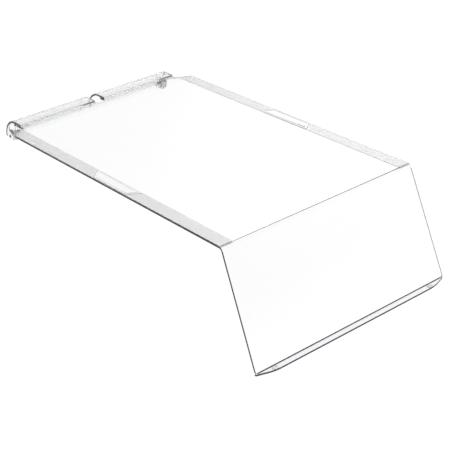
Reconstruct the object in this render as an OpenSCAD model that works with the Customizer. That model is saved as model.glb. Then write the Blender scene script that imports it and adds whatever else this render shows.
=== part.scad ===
/* [Canopy] */
// Width of the top panel, along the bend
canopy_w = 320; // [280:5:360]
// Depth of the top panel's side edges, from the bend line to the rear corner cut
top_d = 454; // [380:1:480]
// Length of the front panel down its slope, from the bend line to its lower edge
front_l = 155.5; // [120:0.5:180]
// Slope of the front panel below the level
front_slope = 68; // [60:1:75]
// How much further each side of the front panel reaches at its lower edge
front_flare = 4.3; // [0:0.1:8]
// Thickness of the clear sheet
sheet_t = 3; // [2.5:0.1:3.5]
// Outer radius of the bend between the top and the front
bend_r = 8; // [6:0.5:12]

/* [Side bands] */
// Width of the textured band along each side of the top
band_w = 19; // [14:1:24]
// Thickness of the band
band_t = 0.8; // [0.5:0.1:1.2]
// Length of a label window along the band's inner edge
label_l = 98; // [80:1:110]
// Distance from the bend line to the middle of the label windows
label_from_bend = 225; // [180:1:260]
// Thickness of the blank label plates
label_t = 1; // [0.9:0.1:1.8]

/* [Front lip] */
// How far the lip stands out from the front panel
lip_out = 7.5; // [6:0.5:12]
// Length over which each end of the lip tapers away
lip_taper = 24; // [20:1:45]

/* [Hinge] */
// Outside diameter of the hinge tube
tube_d = 10; // [9.5:0.1:10.5]
// Wall thickness of the hinge tube
tube_wall = 1.5; // [1.2:0.1:1.6]
// Distance from the hinge axis down from the middle of the top sheet
axis_drop = 18.5; // [18:0.1:19]
// Radius of the rear curl, at the middle of its sheet
curl_r = 27; // [26.5:0.1:27.5]
// Distance from the side edges' rear ends back to the hinge axis
axis_back = 47; // [45:1:50]
// Width of the notch in the middle of the curl
notch_w = 16.6; // [16.2:0.1:18]
// How far each end of the curl is set in from the side edge
curl_inset = 22.5; // [20:0.5:26]
// Radial clearance between a bush and the tube
bush_gap = 0.05; // [0.03:0.01:0.08]

/* [Hidden] */

// The hinge axis is the X axis, and the origin is its middle. The canopy reaches forward, towards -Y.
sheet_top = axis_drop + sheet_t / 2;
sheet_bottom = axis_drop - sheet_t / 2;
bend_y = -(top_d + axis_back);
half_w = canopy_w / 2;

// Rear edge of the sheet: corner cuts, the lap under the curl, and the notch.
corner_cut_d = 12;
leaf_front_y = -27;
sheet_rear_y = -15;
notch_front_y = -29;
curl_half_w = half_w - curl_inset;

// The bend turns the sheet down by front_slope about bend_centre.
bend_inner_r = bend_r - sheet_t;
bend_set = (bend_r - sheet_t / 2) * tan(front_slope / 2);
bend_centre_y = bend_y + bend_set;
bend_centre_z = sheet_top - bend_r;
front_flat = front_l - bend_set;

// Foot of the front panel's inner face, where the panel ends level on the lip.
foot_y = bend_centre_y - bend_inner_r * sin(front_slope) - front_flat * cos(front_slope);
foot_z = bend_centre_z + bend_inner_r * cos(front_slope) - front_flat * sin(front_slope);
foot_outer_y = foot_y - sheet_t / sin(front_slope);
bend_steps = 16;

// Centre of the curl, whose flat part lies on the sheet.
curl_top_z = sheet_top + sheet_t / 2;
curl_centre_y = -10.5;
curl_centre_z = curl_top_z - curl_r;
curl_end_r = sheet_t / 2;

// Ears under the curl.
ear_t = 5;
ear_boss_r = 9;
bush_wall = 1.5;
bush_flange_r = 8;
bush_flange_t = 0.8;
tube_r = tube_d / 2;
bush_r = tube_r + bush_gap + bush_wall;
ear_out = curl_half_w - ear_t;

// Tube ends, plugs, washers.
washer_t = 1;
washer_gap = 0.4;
tube_half_l = curl_half_w + bush_flange_t + washer_t + 2 * washer_gap;
plug_flange_r = 7;
plug_flange_t = 1.5;
plug_l = 16;
plug_bore_r = 2.5;

// Label windows.
label_y = bend_y + label_from_bend;
label_slant = 14;
label_margin = 1;
label_fit = 0.15;
band_corner_r = 18;

// Lip and bumpers.
lip_t = 2.5;
lip_tip = 2.5;
bumper_r = 4;
bumper_h = 2;

fine = 96;

clear_sheet = [0.86, 0.90, 0.92, 0.35];
frosted = [0.80, 0.81, 0.84, 0.75];
clear_block = [0.80, 0.88, 0.92, 0.6];
clear_tube = [0.88, 0.92, 0.94, 0.4];
clear_silicone = [0.85, 0.87, 0.88, 0.5];
plated = [0.80, 0.81, 0.82];

// Runs a (y, z) outline along X from x = from to x = from + width.
module along_x(from, width) {
    translate([from, 0, 0])
        rotate([90, 0, 90])
            linear_extrude(width)
                children();
}

// A straight bar along X with its middle at x = middle.
module bar_x(r, width, middle = 0) {
    translate([middle, 0, 0])
        rotate([0, 90, 0])
            cylinder(r = r, h = width, center = true, $fn = fine);
}

// Points of the bend at radius r, from the top panel round to the front panel.
function bend_arc(r) = [
    for (i = [0:bend_steps])
        let(a = front_slope * i / bend_steps)
            [bend_centre_y - r * sin(a), bend_centre_z + r * cos(a)]
];

// Side view of the bent sheet, as (y, z). The front panel ends level at its foot.
module sheet_profile() {
    outer = bend_arc(bend_r);
    inner = bend_arc(bend_inner_r);
    polygon(concat(
        [[sheet_rear_y, sheet_top]],
        outer,
        [[foot_outer_y, foot_z], [foot_y, foot_z]],
        [for (i = [bend_steps:-1:0]) inner[i]],
        [[sheet_rear_y, sheet_bottom]]
    ));
}

// Right half of the sheet's outline from above: flared front, side edge, corner cut, rear edge, notch.
function sheet_plan_half() =
    let(
        run_on = 5,
        flare_start_y = bend_centre_y - bend_r * sin(front_slope),
        run_on_half = half_w + front_flare * (1 + run_on / (flare_start_y - foot_outer_y))
    )
    [
        [run_on_half, foot_outer_y - run_on],
        [half_w, flare_start_y], [half_w, -axis_back],
        [curl_half_w, corner_cut_d - axis_back], [curl_half_w, run_on],
        [notch_w / 2, run_on], [notch_w / 2, notch_front_y]
    ];

module sheet_plan() {
    right = sheet_plan_half();
    left = [for (i = [len(right) - 1:-1:0]) [-right[i][0], right[i][1]]];
    polygon(concat(right, left));
}

module canopy_shell() {
    reach = canopy_w + 2 * front_flare;
    color(clear_sheet)
        intersection() {
            along_x(-reach / 2 - 1, reach + 2)
                sheet_profile();
            translate([0, 0, -front_l])
                linear_extrude(2 * front_l)
                    sheet_plan();
        }
}

// The label window of the band on the right, grown on every side by extra.
module label_outline(extra) {
    inner_x = half_w - band_w - extra;
    outer_x = half_w - label_margin + extra;
    inner_half = label_l / 2 + extra;
    outer_half = inner_half - label_slant;
    translate([0, label_y])
        polygon([
            [inner_x, -inner_half], [outer_x, -outer_half],
            [outer_x, outer_half], [inner_x, inner_half]
        ]);
}

// Outline of the right-hand band: straight along the side, with a round inner corner at the curl.
module band_outline() {
    inner_x = half_w - band_w;
    difference() {
        polygon([
            [inner_x, bend_centre_y], [half_w, bend_centre_y],
            [half_w, -axis_back], [curl_half_w, corner_cut_d - axis_back],
            [curl_half_w, leaf_front_y], [inner_x - band_corner_r, leaf_front_y],
            [inner_x - band_corner_r, leaf_front_y - 4], [inner_x, leaf_front_y - 4 - band_corner_r]
        ]);
        translate([inner_x - band_corner_r, leaf_front_y - 4 - band_corner_r])
            circle(r = band_corner_r, $fn = fine);
        label_outline(label_fit);
    }
}

module side_band() {
    translate([0, 0, sheet_top])
        linear_extrude(band_t)
            band_outline();
}

module side_border_left() {
    color(frosted)
        mirror([1, 0, 0])
            side_band();
}

module side_border_right() {
    color(frosted)
        side_band();
}

module label_plate() {
    translate([0, 0, sheet_top])
        linear_extrude(label_t)
            label_outline(0);
}

module label_plate_left() {
    color(clear_block)
        mirror([1, 0, 0])
            label_plate();
}

module label_plate_right() {
    color(clear_block)
        label_plate();
}

// Outline of the curl: a flat lap on the sheet, a quarter turn down and a round end.
module curl_outline() {
    translate([leaf_front_y, curl_top_z - sheet_t / 2])
        square([curl_centre_y - leaf_front_y, sheet_t]);
    intersection() {
        translate([curl_centre_y, curl_centre_z])
            difference() {
                circle(r = curl_r + sheet_t / 2, $fn = fine);
                circle(r = curl_r - sheet_t / 2, $fn = fine);
            }
        translate([curl_centre_y, curl_centre_z])
            square(2 * curl_r);
    }
    translate([curl_centre_y + curl_r, curl_centre_z])
        circle(r = curl_end_r, $fn = fine);
}

module hinge_leaf(from) {
    color(frosted)
        along_x(from, curl_half_w - notch_w / 2)
            curl_outline();
}

module hinge_leaf_left() {
    hinge_leaf(-curl_half_w);
}

module hinge_leaf_right() {
    hinge_leaf(notch_w / 2);
}

// Outline of the lip, with an end that tapers towards the front panel.
module lip_outline(reach) {
    half = half_w + front_flare;
    polygon([
        [-half, 0], [-half, -lip_tip], [-half + lip_taper, -reach],
        [half - lip_taper, -reach], [half, -lip_tip], [half, 0]
    ]);
}

// Places a level slab under the foot of the front panel, its rear edge below the panel's inner face.
module at_foot() {
    translate([0, foot_y, foot_z - lip_t])
        children();
}

module finger_lip() {
    color(clear_block)
        at_foot()
            linear_extrude(lip_t)
                lip_outline(lip_out + foot_y - foot_outer_y);
}

module lip_bumper(side) {
    color(clear_silicone)
        at_foot()
            translate([side * (half_w - lip_taper), -lip_out / 2 - 1, -bumper_h])
                cylinder(r = bumper_r, h = bumper_h, $fn = fine);
}

module lip_bumper_left() {
    lip_bumper(-1);
}

module lip_bumper_right() {
    lip_bumper(1);
}

// An ear hangs from the underside of the curl, and carries the tube in its boss.
module ear_outline() {
    intersection() {
        union() {
            circle(r = ear_boss_r, $fn = fine);
            translate([-ear_boss_r, 0])
                square([2 * ear_boss_r, curl_r]);
        }
        translate([curl_centre_y, curl_centre_z])
            circle(r = curl_r - sheet_t / 2, $fn = fine);
    }
}

module ear(from) {
    color(clear_block)
        difference() {
            along_x(from, ear_t)
                ear_outline();
            bar_x(bush_r, ear_t + 2, from + ear_t / 2);
        }
}

module end_ear_left() {
    ear(-curl_half_w);
}

module end_ear_right() {
    ear(ear_out);
}

// A bush in an end ear. Its flange lies on the ear's outer face.
module ear_bush(side) {
    middle_x = side * (ear_out + ear_t / 2);
    color("white")
        difference() {
            union() {
                bar_x(bush_r, ear_t, middle_x);
                bar_x(bush_flange_r, bush_flange_t, side * (ear_out + ear_t + bush_flange_t / 2));
            }
            bar_x(tube_r + bush_gap, 3 * ear_t, middle_x);
        }
}

module ear_bush_left() {
    ear_bush(-1);
}

module ear_bush_right() {
    ear_bush(1);
}

module hinge_tube() {
    color(clear_tube)
        difference() {
            bar_x(tube_r, 2 * tube_half_l);
            bar_x(tube_r - tube_wall, 2 * tube_half_l + 2);
        }
}

module end_plug(side) {
    color(plated)
        difference() {
            union() {
                bar_x(tube_r - tube_wall, plug_l, side * (tube_half_l - plug_l / 2));
                bar_x(plug_flange_r, plug_flange_t, side * (tube_half_l + plug_flange_t / 2));
            }
            bar_x(plug_bore_r, 2 * plug_l + 4, side * tube_half_l);
        }
}

module end_plug_left() {
    end_plug(-1);
}

module end_plug_right() {
    end_plug(1);
}

module thrust_washer(side) {
    middle_x = side * (tube_half_l - washer_gap - washer_t / 2);
    color("white")
        difference() {
            bar_x(plug_flange_r, washer_t, middle_x);
            bar_x(tube_r + bush_gap, 3 * washer_t, middle_x);
        }
}

module thrust_washer_left() {
    thrust_washer(-1);
}

module thrust_washer_right() {
    thrust_washer(1);
}

canopy_shell();
side_border_left();
side_border_right();
label_plate_left();
label_plate_right();
hinge_leaf_left();
hinge_leaf_right();
finger_lip();
lip_bumper_left();
lip_bumper_right();
end_ear_left();
end_ear_right();
ear_bush_left();
ear_bush_right();
hinge_tube();
end_plug_left();
end_plug_right();
thrust_washer_left();
thrust_washer_right();
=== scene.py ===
import math

import bmesh
import bpy
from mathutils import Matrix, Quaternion, Vector


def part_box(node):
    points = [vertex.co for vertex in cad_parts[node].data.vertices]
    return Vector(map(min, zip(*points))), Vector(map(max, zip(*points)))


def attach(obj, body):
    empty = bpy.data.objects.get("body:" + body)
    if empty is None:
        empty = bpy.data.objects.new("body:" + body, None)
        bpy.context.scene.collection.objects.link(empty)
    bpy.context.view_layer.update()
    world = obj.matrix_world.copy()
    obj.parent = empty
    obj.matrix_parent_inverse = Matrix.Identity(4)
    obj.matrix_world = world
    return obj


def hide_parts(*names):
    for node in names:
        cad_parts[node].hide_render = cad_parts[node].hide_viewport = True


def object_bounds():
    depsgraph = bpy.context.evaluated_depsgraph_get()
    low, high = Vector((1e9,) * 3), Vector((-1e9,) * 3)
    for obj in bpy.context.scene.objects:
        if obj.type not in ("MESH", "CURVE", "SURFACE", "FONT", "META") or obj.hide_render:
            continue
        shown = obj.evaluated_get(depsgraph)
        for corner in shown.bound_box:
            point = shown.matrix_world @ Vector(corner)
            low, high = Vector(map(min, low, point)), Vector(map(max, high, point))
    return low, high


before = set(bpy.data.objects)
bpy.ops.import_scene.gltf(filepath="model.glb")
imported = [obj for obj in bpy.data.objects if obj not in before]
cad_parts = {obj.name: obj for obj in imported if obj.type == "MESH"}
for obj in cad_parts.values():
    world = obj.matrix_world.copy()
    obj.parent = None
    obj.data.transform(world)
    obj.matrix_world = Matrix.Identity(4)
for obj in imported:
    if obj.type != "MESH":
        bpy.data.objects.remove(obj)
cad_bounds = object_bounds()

MM = 0.001
QUARTER_TURN = math.pi / 2

# Boxes of the CAD nodes that the visual pieces follow, in metres.
SHEET_LO, SHEET_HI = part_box("canopy_shell")
BAND_LO, BAND_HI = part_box("side_border_right")
LABEL_LO, LABEL_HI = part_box("label_plate_right")
LEAF_LO, LEAF_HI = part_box("hinge_leaf_right")
LIP_LO, LIP_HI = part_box("finger_lip")
TUBE_LO, TUBE_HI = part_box("hinge_tube")

# Main sizes. The curl lies on the top panel, so it stands one thickness of sheet above it.
SHEET_T = LEAF_HI.z - SHEET_HI.z
TOP_Z = SHEET_HI.z
MID_Z = TOP_Z - SHEET_T / 2
HALF_W = BAND_HI.x
FOOT_HALF_W = LIP_HI.x
FOOT_Z = SHEET_LO.z
CURL_HALF_W = LEAF_HI.x
NOTCH_HALF_W = LEAF_LO.x

# The bend between the top panel and the front panel. Its inside is a little tighter than the CAD's.
BEND_CENTRE_Y = BAND_LO.y
BEND_R = 8 * MM
BEND_INNER_R = 4.3 * MM
BEND_STEPS = 14
FRONT_SLOPE = math.radians(68)

# The bend's middle radius, and distances along the sheet's middle from y = 0 forward: to the bend's
# end, where the sides start to flare, and to the foot.
MID_R = BEND_R - SHEET_T / 2
FLARE_START = -BEND_CENTRE_Y + MID_R * FRONT_SLOPE
MID_BEND_END_Z = TOP_Z - BEND_R + MID_R * math.cos(FRONT_SLOPE)
FOOT_TRAVEL = FLARE_START + (MID_BEND_END_Z - FOOT_Z) / math.sin(FRONT_SLOPE)

# The rear corners of the top panel, and the notch between the two lengths of the curl.
SIDE_EDGE_REAR_Y = -47 * MM
CORNER_CUT_Y = -35 * MM
NOTCH_FRONT_Y = -29 * MM

# Gap that keeps bonded clear pieces apart, so that light meets one surface at a time.
BOND_GAP = 0.06 * MM

# Sizes of the rounding along edges.
SHEET_EDGE = 0.35 * MM
BAND_EDGE = 0.2 * MM
LIP_EDGE = 0.3 * MM
EAR_EDGE = 0.5 * MM
BUSH_EDGE = 0.15 * MM
TUBE_EDGE = 0.3 * MM

# Tolerances of the mesh code, in metres and radians.
MERGE_DISTANCE = 1e-6
CUT_DISTANCE = 1e-7
NEARLY_STRAIGHT = 0.01
NEARLY_FLAT = math.radians(1)


# ---------------------------------------------------------------- outlines

def rounded(points, radius, steps=6):
    """The closed outline with each corner made an arc. radius is one number, or one for each corner."""
    radii = radius if isinstance(radius, (list, tuple)) else [radius] * len(points)
    out = []
    for i, (corner, r) in enumerate(zip(points, radii)):
        here = Vector(corner)
        to_last = (Vector(points[i - 1]) - here).normalized()
        to_next = (Vector(points[(i + 1) % len(points)]) - here).normalized()
        half = to_last.angle(to_next) / 2
        if r <= 0 or half > QUARTER_TURN - NEARLY_STRAIGHT:
            out.append(here)
            continue
        centre = here + (to_last + to_next).normalized() * (r / math.sin(half))
        start = here + to_last * (r / math.tan(half)) - centre
        end = here + to_next * (r / math.tan(half)) - centre
        turn = start.angle(end)
        for k in range(steps + 1):
            t = k / steps
            blend = (start * math.sin((1 - t) * turn) + end * math.sin(t * turn)) / math.sin(turn)
            out.append(centre + blend)
    return out


def mirrored(right_half):
    """A closed outline from its right half, which runs from the front round to the rear."""
    return right_half + [(-x, y) for x, y in reversed(right_half)]


# ---------------------------------------------------------------- meshes

TURN_STEPS = 64


def new_object(name, bm, smooth_angle=35):
    """Makes an object from bm, smooth but for edges sharper than smooth_angle degrees."""
    bmesh.ops.recalc_face_normals(bm, faces=bm.faces)
    limit = math.radians(smooth_angle)
    for face in bm.faces:
        face.smooth = True
    for edge in bm.edges:
        edge.smooth = len(edge.link_faces) == 2 and edge.calc_face_angle() < limit
    mesh = bpy.data.meshes.new(name)
    bm.to_mesh(mesh)
    bm.free()
    obj = bpy.data.objects.new(name, mesh)
    bpy.context.scene.collection.objects.link(obj)
    return obj


def slab(name, outline, low, high, cuts=()):
    """A closed solid over a flat outline, between the surfaces low(u, v) and high(u, v).

    Its faces are cut across at each v in cuts, so that they can follow a bend.
    """
    flat = bmesh.new()
    flat.faces.new([flat.verts.new((p[0], p[1], 0)) for p in outline])
    for v in cuts:
        geometry = flat.verts[:] + flat.edges[:] + flat.faces[:]
        bmesh.ops.bisect_plane(
            flat, geom=geometry, dist=CUT_DISTANCE, plane_co=(0, v, 0), plane_no=(0, 1, 0),
        )
    bmesh.ops.remove_doubles(flat, verts=flat.verts, dist=MERGE_DISTANCE)
    flat.verts.index_update()
    bm = bmesh.new()
    lower = [bm.verts.new(low(p.co.x, p.co.y)) for p in flat.verts]
    upper = [bm.verts.new(high(p.co.x, p.co.y)) for p in flat.verts]
    for face in flat.faces:
        ring = [p.index for p in face.verts]
        bm.faces.new([upper[i] for i in ring])
        bm.faces.new([lower[i] for i in reversed(ring)])
    for edge in flat.edges:
        if len(edge.link_faces) == 1:
            a, b = (p.index for p in edge.verts)
            bm.faces.new([lower[a], lower[b], upper[b], upper[a]])
    flat.free()
    return new_object(name, bm)


def stacked(name, rings):
    """A closed solid through rings of equally many points, with a flat cap on the first and the last."""
    bm = bmesh.new()
    loops = [[bm.verts.new(point) for point in ring] for ring in rings]
    for ring, after in zip(loops, loops[1:]):
        for i in range(len(ring)):
            bm.faces.new([ring[i - 1], ring[i], after[i], after[i - 1]])
    bm.faces.new(loops[0])
    bm.faces.new(loops[-1])
    return new_object(name, bm, smooth_angle=12)


def turned(name, profile, centre=(0, 0, 0), upright=False):
    """A closed solid of revolution about X, or about Z if upright.

    profile is a closed outline of (along, radius).
    """
    bm = bmesh.new()
    rings = []
    for along, radius in profile:
        ring = []
        for i in range(TURN_STEPS if radius > 0 else 1):
            a = 2 * math.pi * i / TURN_STEPS
            c, s = radius * math.cos(a), radius * math.sin(a)
            point = Vector((c, s, along) if upright else (along, c, s))
            ring.append(bm.verts.new(Vector(centre) + point))
        rings.append(ring)
    for ring, after in zip(rings, rings[1:] + rings[:1]):
        for i in range(TURN_STEPS):
            corners = [ring[i % len(ring)], after[i % len(after)]]
            corners += [after[(i + 1) % len(after)], ring[(i + 1) % len(ring)]]
            corners = [v for k, v in enumerate(corners) if v not in corners[:k]]
            if len(corners) > 2:
                bm.faces.new(corners)
    return new_object(name, bm)


def bevelled(obj, width, segments=3, angle=40):
    """Rounds the edges of obj that are sharper than angle degrees."""
    mod = obj.modifiers.new("edges", "BEVEL")
    mod.width = width
    mod.segments = segments
    mod.limit_method = "ANGLE"
    mod.angle_limit = math.radians(angle)
    mod.harden_normals = True


def softened(node, width):
    """A copy of a CAD node with clean faces and rounded edges."""
    bm = bmesh.new()
    bm.from_mesh(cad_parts[node].data)
    bmesh.ops.remove_doubles(bm, verts=bm.verts, dist=MERGE_DISTANCE)
    bmesh.ops.dissolve_limit(bm, angle_limit=NEARLY_FLAT, verts=bm.verts, edges=bm.edges)
    obj = new_object(node + "_part", bm)
    bevelled(obj, width, segments=2)
    return obj


def placed(obj, body, material, node):
    """Finishes a piece: its body, its material and the CAD node that it replaces."""
    obj.data.materials.clear()
    obj.data.materials.append(material)
    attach(obj, body)
    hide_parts(node)


# ---------------------------------------------------------------- materials

PLASTIC_IOR = 1.49
CLEAR_SHARE = 0.98
TEXTURED_SHARE = 0.93

# Noise values mostly lie in this range.
NOISE_LOW = 0.35
NOISE_HIGH = 0.65

# Bumps, as (strength, distance).
MOULDED_BUMP = (0.15, 0.1 * MM)
NYLON_BUMP = (0.2, 0.05 * MM)
PLATED_BUMP = (0.08, 0.02 * MM)


def shader(name, **values):
    """A material with one Principled shader. values are its sockets' values, with _ for spaces."""
    mat = bpy.data.materials.new(name)
    mat.use_nodes = True
    principled = mat.node_tree.nodes["Principled BSDF"]
    for key, value in values.items():
        principled.inputs[key.replace("_", " ")].default_value = value
    return mat, mat.node_tree, principled


def noise(tree, scale, detail, stretch=(1, 1, 1)):
    """Noise over the object's own coordinates. Returns the socket of its value."""
    coords = tree.nodes.new("ShaderNodeTexCoord")
    mapping = tree.nodes.new("ShaderNodeMapping")
    mapping.inputs["Scale"].default_value = stretch
    texture = tree.nodes.new("ShaderNodeTexNoise")
    texture.inputs["Scale"].default_value = scale
    texture.inputs["Detail"].default_value = detail
    tree.links.new(coords.outputs["Object"], mapping.inputs["Vector"])
    tree.links.new(mapping.outputs["Vector"], texture.inputs["Vector"])
    return texture.outputs["Fac"]


def spread(tree, value, low, high):
    """Stretches noise to run from low to high."""
    node = tree.nodes.new("ShaderNodeMapRange")
    node.inputs["From Min"].default_value = NOISE_LOW
    node.inputs["From Max"].default_value = NOISE_HIGH
    node.inputs["To Min"].default_value = low
    node.inputs["To Max"].default_value = high
    tree.links.new(value, node.inputs["Value"])
    return node.outputs["Result"]


def tinted(tree, value, dark, light):
    """A colour between dark and light."""
    node = tree.nodes.new("ShaderNodeMix")
    node.data_type = "RGBA"
    node.inputs["A"].default_value = (*dark, 1)
    node.inputs["B"].default_value = (*light, 1)
    tree.links.new(value, node.inputs["Factor"])
    return node.outputs["Result"]


def bumped(tree, principled, height, strength, distance):
    """Gives the shader a bump from the socket height."""
    node = tree.nodes.new("ShaderNodeBump")
    node.inputs["Strength"].default_value = strength
    node.inputs["Distance"].default_value = distance
    tree.links.new(height, node.inputs["Height"])
    tree.links.new(node.outputs["Normal"], principled.inputs["Normal"])


def let_light_through(tree, principled, share):
    """Lets this share of a lamp's light through, where a shadow would otherwise fall."""
    path = tree.nodes.new("ShaderNodeLightPath")
    clear = tree.nodes.new("ShaderNodeBsdfTransparent")
    clear.inputs["Color"].default_value = (share, share, share, 1)
    mix = tree.nodes.new("ShaderNodeMixShader")
    tree.links.new(path.outputs["Is Shadow Ray"], mix.inputs["Fac"])
    tree.links.new(principled.outputs["BSDF"], mix.inputs[1])
    tree.links.new(clear.outputs["BSDF"], mix.inputs[2])
    tree.links.new(mix.outputs["Shader"], tree.nodes["Material Output"].inputs["Surface"])


def clear_plastic(name, dark, light, rough, clarity=1.0):
    """Polished clear plastic, with handling haze that shows in its reflections."""
    mat, tree, p = shader(name, Transmission_Weight=clarity, IOR=PLASTIC_IOR)
    let_light_through(tree, p, CLEAR_SHARE)
    haze = noise(tree, scale=9, detail=5)
    tree.links.new(spread(tree, haze, 0, rough), p.inputs["Roughness"])
    cloud = noise(tree, scale=4, detail=2)
    tree.links.new(tinted(tree, cloud, dark, light), p.inputs["Base Color"])
    return mat


def textured_plastic(name, dark, light, rough_low, rough_high, clarity):
    """Clear plastic with a fine moulded grain. clarity is the share of light that isn't scattered."""
    mat, tree, p = shader(name, Transmission_Weight=clarity, IOR=PLASTIC_IOR)
    let_light_through(tree, p, TEXTURED_SHARE)
    cloud = noise(tree, scale=14, detail=3)
    tree.links.new(tinted(tree, cloud, dark, light), p.inputs["Base Color"])
    grain = noise(tree, scale=900, detail=2)
    tree.links.new(spread(tree, grain, rough_low, rough_high), p.inputs["Roughness"])
    bumped(tree, p, grain, *MOULDED_BUMP)
    return mat


def grained(name, dark, light, rough, scale, bump, stretch=(1, 1, 1), **values):
    """An opaque material with a grain. rough is its lowest and highest roughness."""
    mat, tree, p = shader(name, **values)
    grain = noise(tree, scale, 3, stretch)
    tree.links.new(tinted(tree, grain, dark, light), p.inputs["Base Color"])
    tree.links.new(spread(tree, grain, *rough), p.inputs["Roughness"])
    bumped(tree, p, grain, *bump)
    return mat


SHEET = clear_plastic("clear_sheet", (0.968, 0.97, 0.974), (0.986, 0.987, 0.989), 0.05)
BLOCK = clear_plastic("clear_block", (0.965, 0.97, 0.975), (0.985, 0.988, 0.99), 0.03)
BAND = textured_plastic("textured_band", (0.92, 0.92, 0.935), (0.96, 0.96, 0.97), 0.1, 0.25, 0.85)
LEAF = textured_plastic("textured_leaf", (0.965, 0.965, 0.975), (0.99, 0.99, 0.993), 0.05, 0.15, 0.92)
LIP = clear_plastic("clear_lip", (0.9, 0.89, 0.93), (0.94, 0.93, 0.96), 0.05)
# Cut edges get a dark material: painted shade for the dark lines that refraction and inner reflection give
# polished edges.
EDGE_PAINTED_SHADE = clear_plastic("cut_edge_painted_shade", (0.04, 0.04, 0.045), (0.08, 0.08, 0.085), 0.2, clarity=0.3)
SILICONE = textured_plastic("clear_silicone", (0.93, 0.94, 0.945), (0.97, 0.97, 0.975), 0.25, 0.4, 0.9)
ACRYLIC = clear_plastic("clear_acrylic", (0.97, 0.98, 0.985), (0.99, 0.995, 0.995), 0.02)
NYLON = grained("bush_nylon", (0.8, 0.79, 0.76), (0.88, 0.87, 0.85), (0.3, 0.45), 200, NYLON_BUMP)
PLATED = grained(
    "bright_plated", (0.82, 0.82, 0.83), (0.92, 0.92, 0.93), (0.05, 0.16), 60, PLATED_BUMP,
    stretch=(1, 12, 12), Metallic=1.0,
)


def with_painted_edge_shade(obj, is_edge):
    """Gives the faces for which is_edge(face) is true a dark material, painted shade for the dark look of a
    cut edge.
    """
    obj.data.materials.append(EDGE_PAINTED_SHADE)
    for face in obj.data.polygons:
        face.material_index = 1 if is_edge(face) else 0


# ---------------------------------------------------------------- bent sheet

# How far a face's normal must lean along X to count as a side of the sheet.
SIDEWAYS = 0.3

# Between this and SIDE_EDGE_REAR_Y, beside the bands, the sheet's sides keep the look of the sheet, without
# the painted edge shade.
SIDE_FRONT_Y = BEND_CENTRE_Y - BEND_R

FOOT_MARGIN = 0.01 * MM


def sheet_point(x, v, out):
    """A point of the bent sheet.

    v is the distance along the sheet's middle from y = 0, falling forward, and out is the height
    above that middle, along the sheet's normal.
    """
    travel = -v
    flat_end = -BEND_CENTRE_Y
    if travel <= flat_end:
        return Vector((x, v, MID_Z + out))
    angle = min((travel - flat_end) / MID_R, FRONT_SLOPE)
    down = max(0.0, travel - flat_end - MID_R * FRONT_SLOPE)
    r, depth = MID_R + out, BEND_R
    if out < 0 and down == 0:
        r, depth = BEND_INNER_R, BEND_INNER_R + SHEET_T
    # A tighter bend has its centre nearer the corner, so that it still runs into both panels.
    centre_y = BEND_CENTRE_Y + (depth - BEND_R) * math.tan(FRONT_SLOPE / 2)
    centre_z = TOP_Z - depth
    point = Vector((x, centre_y - r * math.sin(angle), centre_z + r * math.cos(angle)))
    if travel > FOOT_TRAVEL - FOOT_MARGIN:
        # The foot is cut level.
        down = (point.z - FOOT_Z) / math.sin(FRONT_SLOPE)
    return point + Vector((0, -math.cos(FRONT_SLOPE), -math.sin(FRONT_SLOPE))) * down


def canopy_shell():
    """The top panel, the bend and the front panel in one sheet, with painted shade on its cut sides."""
    right = [
        (FOOT_HALF_W, -FOOT_TRAVEL), (HALF_W, -FLARE_START), (HALF_W, SIDE_EDGE_REAR_Y),
        (CURL_HALF_W, CORNER_CUT_Y), (CURL_HALF_W, SHEET_HI.y),
        (NOTCH_HALF_W, SHEET_HI.y), (NOTCH_HALF_W, NOTCH_FRONT_Y),
    ]
    radii = [3 * MM, 0, 3 * MM, 2 * MM, 1 * MM, 1 * MM, 2 * MM]
    outline = rounded(mirrored(right), radii + radii[::-1])
    bend_length = FLARE_START + BEND_CENTRE_Y
    shell = slab(
        "canopy_shell_sheet", outline,
        lambda x, v: sheet_point(x, v, -SHEET_T / 2),
        lambda x, v: sheet_point(x, v, SHEET_T / 2),
        cuts=[BEND_CENTRE_Y - bend_length * i / BEND_STEPS for i in range(BEND_STEPS + 1)],
    )
    bevelled(shell, SHEET_EDGE)
    placed(shell, "canopy", SHEET, "canopy_shell")

    def is_cut_side(face):
        beside_band = SIDE_FRONT_Y < face.center.y < SIDE_EDGE_REAR_Y
        return abs(face.normal.x) > SIDEWAYS and not beside_band

    with_painted_edge_shade(shell, is_cut_side)


# ---------------------------------------------------------------- side bands and label plates

LABEL_SLANT = 14 * MM
LABEL_FIT = 0.15 * MM
LABEL_CORNER_R = 1.6 * MM
LABEL_CORNER_STEPS = 12
BAND_CORNER_R = 18 * MM
BAND_CORNER_SET = 4 * MM
BAND_CORNER_STEPS = 12

# The bands run this far round the bend.
BAND_TURN = math.radians(30)
BAND_FRONT_V = BEND_CENTRE_Y - MID_R * BAND_TURN
BAND_STEPS = 6

# The groove round a label plate's face, and the rim outside it.
RIM_W = 2.2 * MM
GROOVE_W = 0.9 * MM
GROOVE_D = 0.12 * MM


def window(extra):
    """The label window's outline on the right-hand band, grown by extra on every side."""
    inner, outer = LABEL_LO.x - extra, LABEL_HI.x + extra
    half_turn = (QUARTER_TURN + math.atan2(LABEL_SLANT, LABEL_HI.x - LABEL_LO.x)) / 2
    tips = extra / math.tan(QUARTER_TURN - half_turn)
    heels = extra / math.tan(half_turn)
    front, rear = LABEL_LO.y, LABEL_HI.y
    return [
        (inner, front - tips), (outer, front + LABEL_SLANT - heels),
        (outer, rear - LABEL_SLANT + heels), (inner, rear + tips),
    ]


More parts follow.
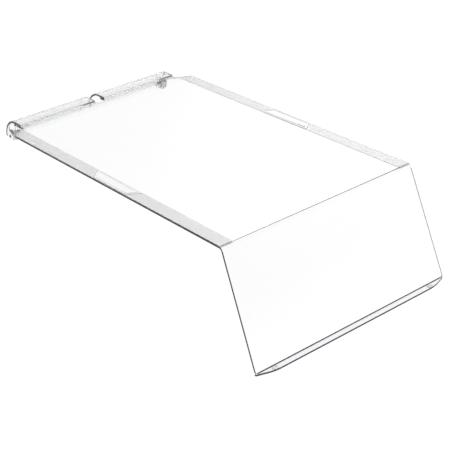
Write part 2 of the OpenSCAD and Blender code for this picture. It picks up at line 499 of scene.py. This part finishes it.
def band_outline():
    """The right-hand band's outline, open to the label window on its inner side."""
    inner = BAND_LO.x + BAND_CORNER_R
    corner_y = BAND_HI.y - BAND_CORNER_SET
    centre = (inner - BAND_CORNER_R, corner_y - BAND_CORNER_R)
    turns = [QUARTER_TURN * (1 - i / BAND_CORNER_STEPS) for i in range(BAND_CORNER_STEPS + 1)]
    corner = [
        (centre[0] + BAND_CORNER_R * math.cos(a), centre[1] + BAND_CORNER_R * math.sin(a)) for a in turns
    ]
    outside = [
        (inner, BAND_FRONT_V), (HALF_W, BAND_FRONT_V), (HALF_W, SIDE_EDGE_REAR_Y),
        (CURL_HALF_W, CORNER_CUT_Y), (CURL_HALF_W, BAND_HI.y), (inner - BAND_CORNER_R, BAND_HI.y),
    ]
    return outside + corner + window(LABEL_FIT)[::-1]


def side_bands():
    """The bands lie on the sheet, and run a little way round the bend."""
    low, high = BAND_LO.z + BOND_GAP - MID_Z, BAND_HI.z - MID_Z
    for side, name in ((-1, "left"), (1, "right")):
        band = slab(
            "side_border_" + name + "_band", band_outline(),
            lambda x, v: sheet_point(side * x, v, low),
            lambda x, v: sheet_point(side * x, v, high),
            cuts=[BAND_LO.y + (BAND_FRONT_V - BAND_LO.y) * i / BAND_STEPS for i in range(BAND_STEPS)],
        )
        bevelled(band, BAND_EDGE)
        placed(band, "canopy", BAND, "side_border_" + name)


def label_plates():
    """Blank plates, each with a fine groove round its face a little inside its edge."""
    low, high = LABEL_LO.z + BOND_GAP, LABEL_HI.z
    levels = [
        (0, low), (0, high),
        (RIM_W, high), (RIM_W + GROOVE_W / 2, high - GROOVE_D), (RIM_W + GROOVE_W, high),
    ]
    for side, name in ((-1, "left"), (1, "right")):
        rings = []
        for inset, z in levels:
            corner_r = max(LABEL_CORNER_R - inset, LABEL_CORNER_R / 4)
            outline = rounded(window(-inset), corner_r, LABEL_CORNER_STEPS)
            rings.append([(side * p.x, p.y, z) for p in outline])
        plate = stacked("label_plate_" + name + "_blank", rings)
        bevelled(plate, BAND_EDGE)
        placed(plate, "canopy", BLOCK, "label_plate_" + name)


# ---------------------------------------------------------------- rear curl

CURL_STEPS = 24
TIP_STEPS = 10

# How far a face's normal must lean along X to count as an end of the curl.
ENDWAYS = 0.9


def curl_path():
    """The middle of the curl's sheet, as (y, z, angle). The angle is 0 on top, a right angle at the end."""
    centre_z = LEAF_LO.z + SHEET_T / 2
    r = LEAF_HI.z - SHEET_T / 2 - centre_z
    centre_y = LEAF_HI.y - SHEET_T / 2 - r
    path = [(LEAF_LO.y, centre_z + r, 0.0)]
    for i in range(CURL_STEPS + 1):
        a = QUARTER_TURN * i / CURL_STEPS
        path.append((centre_y + r * math.sin(a), centre_z + r * math.cos(a), a))
    return path


def hinge_leaf(side, name):
    """One length of the curl: a closed sheet swept along its path, with a round tip and painted shade on
    its ends.
    """
    path = curl_path()
    up, under = SHEET_T / 2, SHEET_T / 2 - BOND_GAP
    outer = [(y + up * math.sin(a), z + up * math.cos(a)) for y, z, a in path]
    inner = [(y - under * math.sin(a), z - under * math.cos(a)) for y, z, a in path]
    end_y, end_z, _ = path[-1]
    tip_angles = [math.pi * i / TIP_STEPS for i in range(1, TIP_STEPS)]
    tip = [(end_y + up * math.cos(a), end_z - up * math.sin(a)) for a in tip_angles]
    near, far = sorted((side * NOTCH_HALF_W, side * CURL_HALF_W))
    leaf = slab(
        "hinge_leaf_" + name + "_curl", outer + tip + inner[::-1],
        lambda y, z: (near, y, z), lambda y, z: (far, y, z),
    )
    bevelled(leaf, SHEET_EDGE, angle=50)
    placed(leaf, "canopy", LEAF, "hinge_leaf_" + name)
    with_painted_edge_shade(leaf, lambda face: abs(face.normal.x) > ENDWAYS)


# ---------------------------------------------------------------- lip and pads

LIP_TIP = 2.5 * MM
LIP_TAPER = 24 * MM
LIP_RADII = [65 * MM, 1.2 * MM, 0.8 * MM]

# A pad's flat underside as a share of its radius, its dome as a share of its height.
PAD_FLAT = 0.72
PAD_DOME = 0.5
PAD_STEPS = 8


def finger_lip():
    """The lip's bar, whose ends taper in sweeps, with painted shade on its edge all round."""
    rear, front = LIP_HI.y, LIP_LO.y
    right = [(FOOT_HALF_W - LIP_TAPER, front), (FOOT_HALF_W, rear - LIP_TIP), (FOOT_HALF_W, rear)]
    lip = slab(
        "finger_lip_bar", rounded(mirrored(right), LIP_RADII + LIP_RADII[::-1]),
        lambda x, y: (x, y, LIP_LO.z), lambda x, y: (x, y, LIP_HI.z - BOND_GAP),
    )
    bevelled(lip, LIP_EDGE)
    placed(lip, "canopy", LIP, "finger_lip")
    with_painted_edge_shade(lip, lambda face: abs(face.normal.z) < 0.5)


def lip_bumper(side):
    """A soft domed pad under the lip."""
    low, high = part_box("lip_bumper_" + side)
    r, tall = (high.x - low.x) / 2, high.z - low.z
    centre = ((low.x + high.x) / 2, (low.y + high.y) / 2, 0)
    dome = [
        (low.z + tall * PAD_DOME * (1 - math.sin(a)), r * (PAD_FLAT + (1 - PAD_FLAT) * math.cos(a)))
        for a in (QUARTER_TURN * i / PAD_STEPS for i in range(PAD_STEPS + 1))
    ]
    profile = [(high.z - BOND_GAP, 0), (high.z - BOND_GAP, r)] + dome + [(low.z, 0)]
    pad = turned("lip_bumper_" + side + "_pad", profile, centre, upright=True)
    placed(pad, "canopy", SILICONE, "lip_bumper_" + side)


# ---------------------------------------------------------------- hinge tube and plugs

TUBE_WALL = 1.5 * MM
TUBE_BORE_R = TUBE_HI.z - TUBE_WALL
THREAD_PITCH = 1.0 * MM
THREAD_DEPTH = 0.45 * MM
PLUG_BORE_R = 2.5 * MM
PLUG_FLANGE_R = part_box("end_plug_right")[1].z
PLUG_CHAMFER = 0.4 * MM


def hinge_tube():
    """The clear tube, open at both ends, with eased rims."""
    outer, inner = TUBE_HI.z, TUBE_BORE_R
    profile = []
    for end, way in ((TUBE_LO.x, 1), (TUBE_HI.x, -1)):
        eased = end + way * TUBE_EDGE
        rim = [(eased, outer), (end, outer - TUBE_EDGE), (end, inner + TUBE_EDGE), (eased, inner)]
        profile += rim[::-1] if way > 0 else rim
    placed(turned("hinge_tube_length", profile), "hinge_set", ACRYLIC, "hinge_tube")


def end_plug(name, way):
    """A flanged plug for the tube's end at way * X. Ring grooves in its bore stand for the thread."""
    low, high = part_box("end_plug_" + name)
    face = max(abs(low.x), abs(high.x))
    root = min(abs(low.x), abs(high.x))
    shoulder = TUBE_HI.x
    groove_r = PLUG_BORE_R + THREAD_DEPTH
    rim_r = PLUG_FLANGE_R - PLUG_CHAMFER
    thread_start = face - PLUG_CHAMFER - THREAD_DEPTH
    bore = [(face, groove_r + PLUG_CHAMFER), (thread_start, PLUG_BORE_R)]
    for i in range(int((face - root) / THREAD_PITCH) - 1):
        at = thread_start - i * THREAD_PITCH
        bore += [(at - THREAD_PITCH * 0.5, groove_r), (at - THREAD_PITCH, PLUG_BORE_R)]
    outside = [
        (root, PLUG_BORE_R), (root, TUBE_BORE_R - PLUG_CHAMFER), (root + PLUG_CHAMFER, TUBE_BORE_R),
        (shoulder, TUBE_BORE_R), (shoulder, rim_r), (shoulder + PLUG_CHAMFER / 2, PLUG_FLANGE_R),
        (face - PLUG_CHAMFER, PLUG_FLANGE_R), (face, rim_r),
    ]
    plug = turned("end_plug_" + name + "_threaded", [(way * x, r) for x, r in bore + outside])
    placed(plug, "hinge_set", PLATED, "end_plug_" + name)


# ---------------------------------------------------------------- the whole object

canopy_shell()
side_bands()
label_plates()
hinge_leaf(-1, "left")
hinge_leaf(1, "right")
finger_lip()
for side in ("left", "right"):
    lip_bumper(side)
    ear = "end_ear_" + side
    placed(softened(ear, EAR_EDGE), "canopy", BLOCK, ear)
    bush = "ear_bush_" + side
    placed(softened(bush, BUSH_EDGE), "canopy", NYLON, bush)
hinge_tube()
for side, way in (("left", -1), ("right", 1)):
    end_plug(side, way)
    washer = "thrust_washer_" + side
    placed(softened(washer, BUSH_EDGE), "hinge_set", NYLON, washer)


# ---------------------------------------------------------------- floor, light, camera

FLOOR_HALF = 20.0
FLOOR_GAP = 0.1 * MM
FLOOR_GREY = 0.12
FLOOR_GLOW = 0.98

# The studio's brightness all over, and how much its wall, glow and haze add to it.
SKY_DIM = 0.14
SKY_WALL = 0.66
SKY_GLOW = 0.4
SKY_HAZE = 0.25

# Directions to the wall and the glow, and for each patch the cosines between which it rises.
WALL_WAY = (0.57, 0.67, 0.47)
WALL_RISE = (0.85, 0.95)
GLOW_WAY = (0.72, 0.5, 0.47)
GLOW_RISE = (0.945, 0.99)
DOWN = (0, 0, -1)
HORIZON_RISE = (-0.12, -0.02)
HAZE_RISE = (-0.45, -0.1)

LAMP_PLACE = (0.7, -0.25, 0.5)
LAMP_AIM = (0, -0.25, 0)
LAMP_SIZE = 0.45
LAMP_WATTS = 5

CAMERA_AIM = (-0.0414, -0.3626, -0.0472)
CAMERA_DISTANCE = 1.6276
CAMERA_AZIMUTH = math.radians(38.72)
CAMERA_ELEVATION = math.radians(27.84)
CAMERA_ROLL = math.radians(-2.74)
CAMERA_LENS = 99.37
CAMERA_SENSOR = 36


def floor():
    """A plain floor just under the object, which gives off its own light so that it stays white."""
    low = cad_bounds[0].z - FLOOR_GAP
    bm = bmesh.new()
    corners = ((-1, -1), (1, -1), (1, 1), (-1, 1))
    bm.faces.new([bm.verts.new((x * FLOOR_HALF, y * FLOOR_HALF, low)) for x, y in corners])
    obj = new_object("studio_floor", bm)
    mat, _, p = shader("pale_floor", Roughness=1.0, Specular_IOR_Level=0.0)
    p.inputs["Base Color"].default_value = (FLOOR_GREY, FLOOR_GREY, FLOOR_GREY, 1)
    p.inputs["Emission Color"].default_value = (1, 1, 1, 1)
    p.inputs["Emission Strength"].default_value = FLOOR_GLOW
    obj.data.materials.append(mat)


def sky():
    """A dim studio, white at the horizon, with a soft bright wall and a brighter glow to the rear right."""
    world = bpy.data.worlds.new("studio")
    bpy.context.scene.world = world
    world.use_nodes = True
    tree = world.node_tree
    coords = tree.nodes.new("ShaderNodeTexCoord")

    def patch(way, rise, strength):
        """Grows from 0 to strength as the cosine of the angle from way grows through rise."""
        facing = tree.nodes.new("ShaderNodeVectorMath")
        facing.operation = "DOT_PRODUCT"
        facing.inputs[1].default_value = Vector(way).normalized()
        tree.links.new(coords.outputs["Generated"], facing.inputs[0])
        ramp = tree.nodes.new("ShaderNodeMapRange")
        ramp.interpolation_type = "SMOOTHSTEP"
        for socket, value in zip(("From Min", "From Max", "To Min", "To Max"), (*rise, 0, strength)):
            ramp.inputs[socket].default_value = value
        tree.links.new(facing.outputs["Value"], ramp.inputs["Value"])
        return ramp.outputs["Result"]

    def plus(first, second):
        """The sum of a socket and another socket or number."""
        node = tree.nodes.new("ShaderNodeMath")
        tree.links.new(first, node.inputs[0])
        if isinstance(second, float):
            node.inputs[1].default_value = second
        else:
            tree.links.new(second, node.inputs[1])
        return node.outputs["Value"]

    wall = patch(WALL_WAY, WALL_RISE, SKY_WALL)
    glow = patch(GLOW_WAY, GLOW_RISE, SKY_GLOW)
    horizon = patch(DOWN, HORIZON_RISE, 1 - SKY_DIM - SKY_HAZE)
    haze = patch(DOWN, HAZE_RISE, SKY_HAZE)
    background = tree.nodes["Background"]
    background.inputs["Color"].default_value = (1, 1, 1, 1)
    patches = plus(plus(wall, glow), plus(horizon, haze))
    tree.links.new(plus(patches, SKY_DIM), background.inputs["Strength"])


def soft_lamp():
    """A round soft lamp that lights the object but isn't seen or mirrored itself."""
    data = bpy.data.lights.new("key", "AREA")
    data.shape = "DISK"
    data.size = LAMP_SIZE
    data.energy = LAMP_WATTS
    obj = bpy.data.objects.new("key", data)
    obj.location = LAMP_PLACE
    obj.rotation_mode = "QUATERNION"
    obj.rotation_quaternion = (Vector(LAMP_AIM) - Vector(LAMP_PLACE)).to_track_quat("-Z", "Y")
    bpy.context.scene.collection.objects.link(obj)
    obj.visible_camera = False
    obj.visible_glossy = False
    obj.visible_transmission = False


def camera():
    """The camera, at a distance from its aim along its azimuth and elevation."""
    back = Vector((
        -math.sin(CAMERA_AZIMUTH) * math.cos(CAMERA_ELEVATION),
        -math.cos(CAMERA_AZIMUTH) * math.cos(CAMERA_ELEVATION),
        math.sin(CAMERA_ELEVATION),
    ))
    data = bpy.data.cameras.new("camera")
    data.sensor_width = CAMERA_SENSOR
    data.lens = CAMERA_LENS
    obj = bpy.data.objects.new("camera", data)
    obj.location = Vector(CAMERA_AIM) + back * CAMERA_DISTANCE
    obj.rotation_mode = "QUATERNION"
    obj.rotation_quaternion = (-back).to_track_quat("-Z", "Y") @ Quaternion((0, 0, 1), CAMERA_ROLL)
    bpy.context.scene.collection.objects.link(obj)
    bpy.context.scene.camera = obj


floor()
sky()
soft_lamp()
camera()
bpy.context.scene.view_settings.view_transform = "Standard"
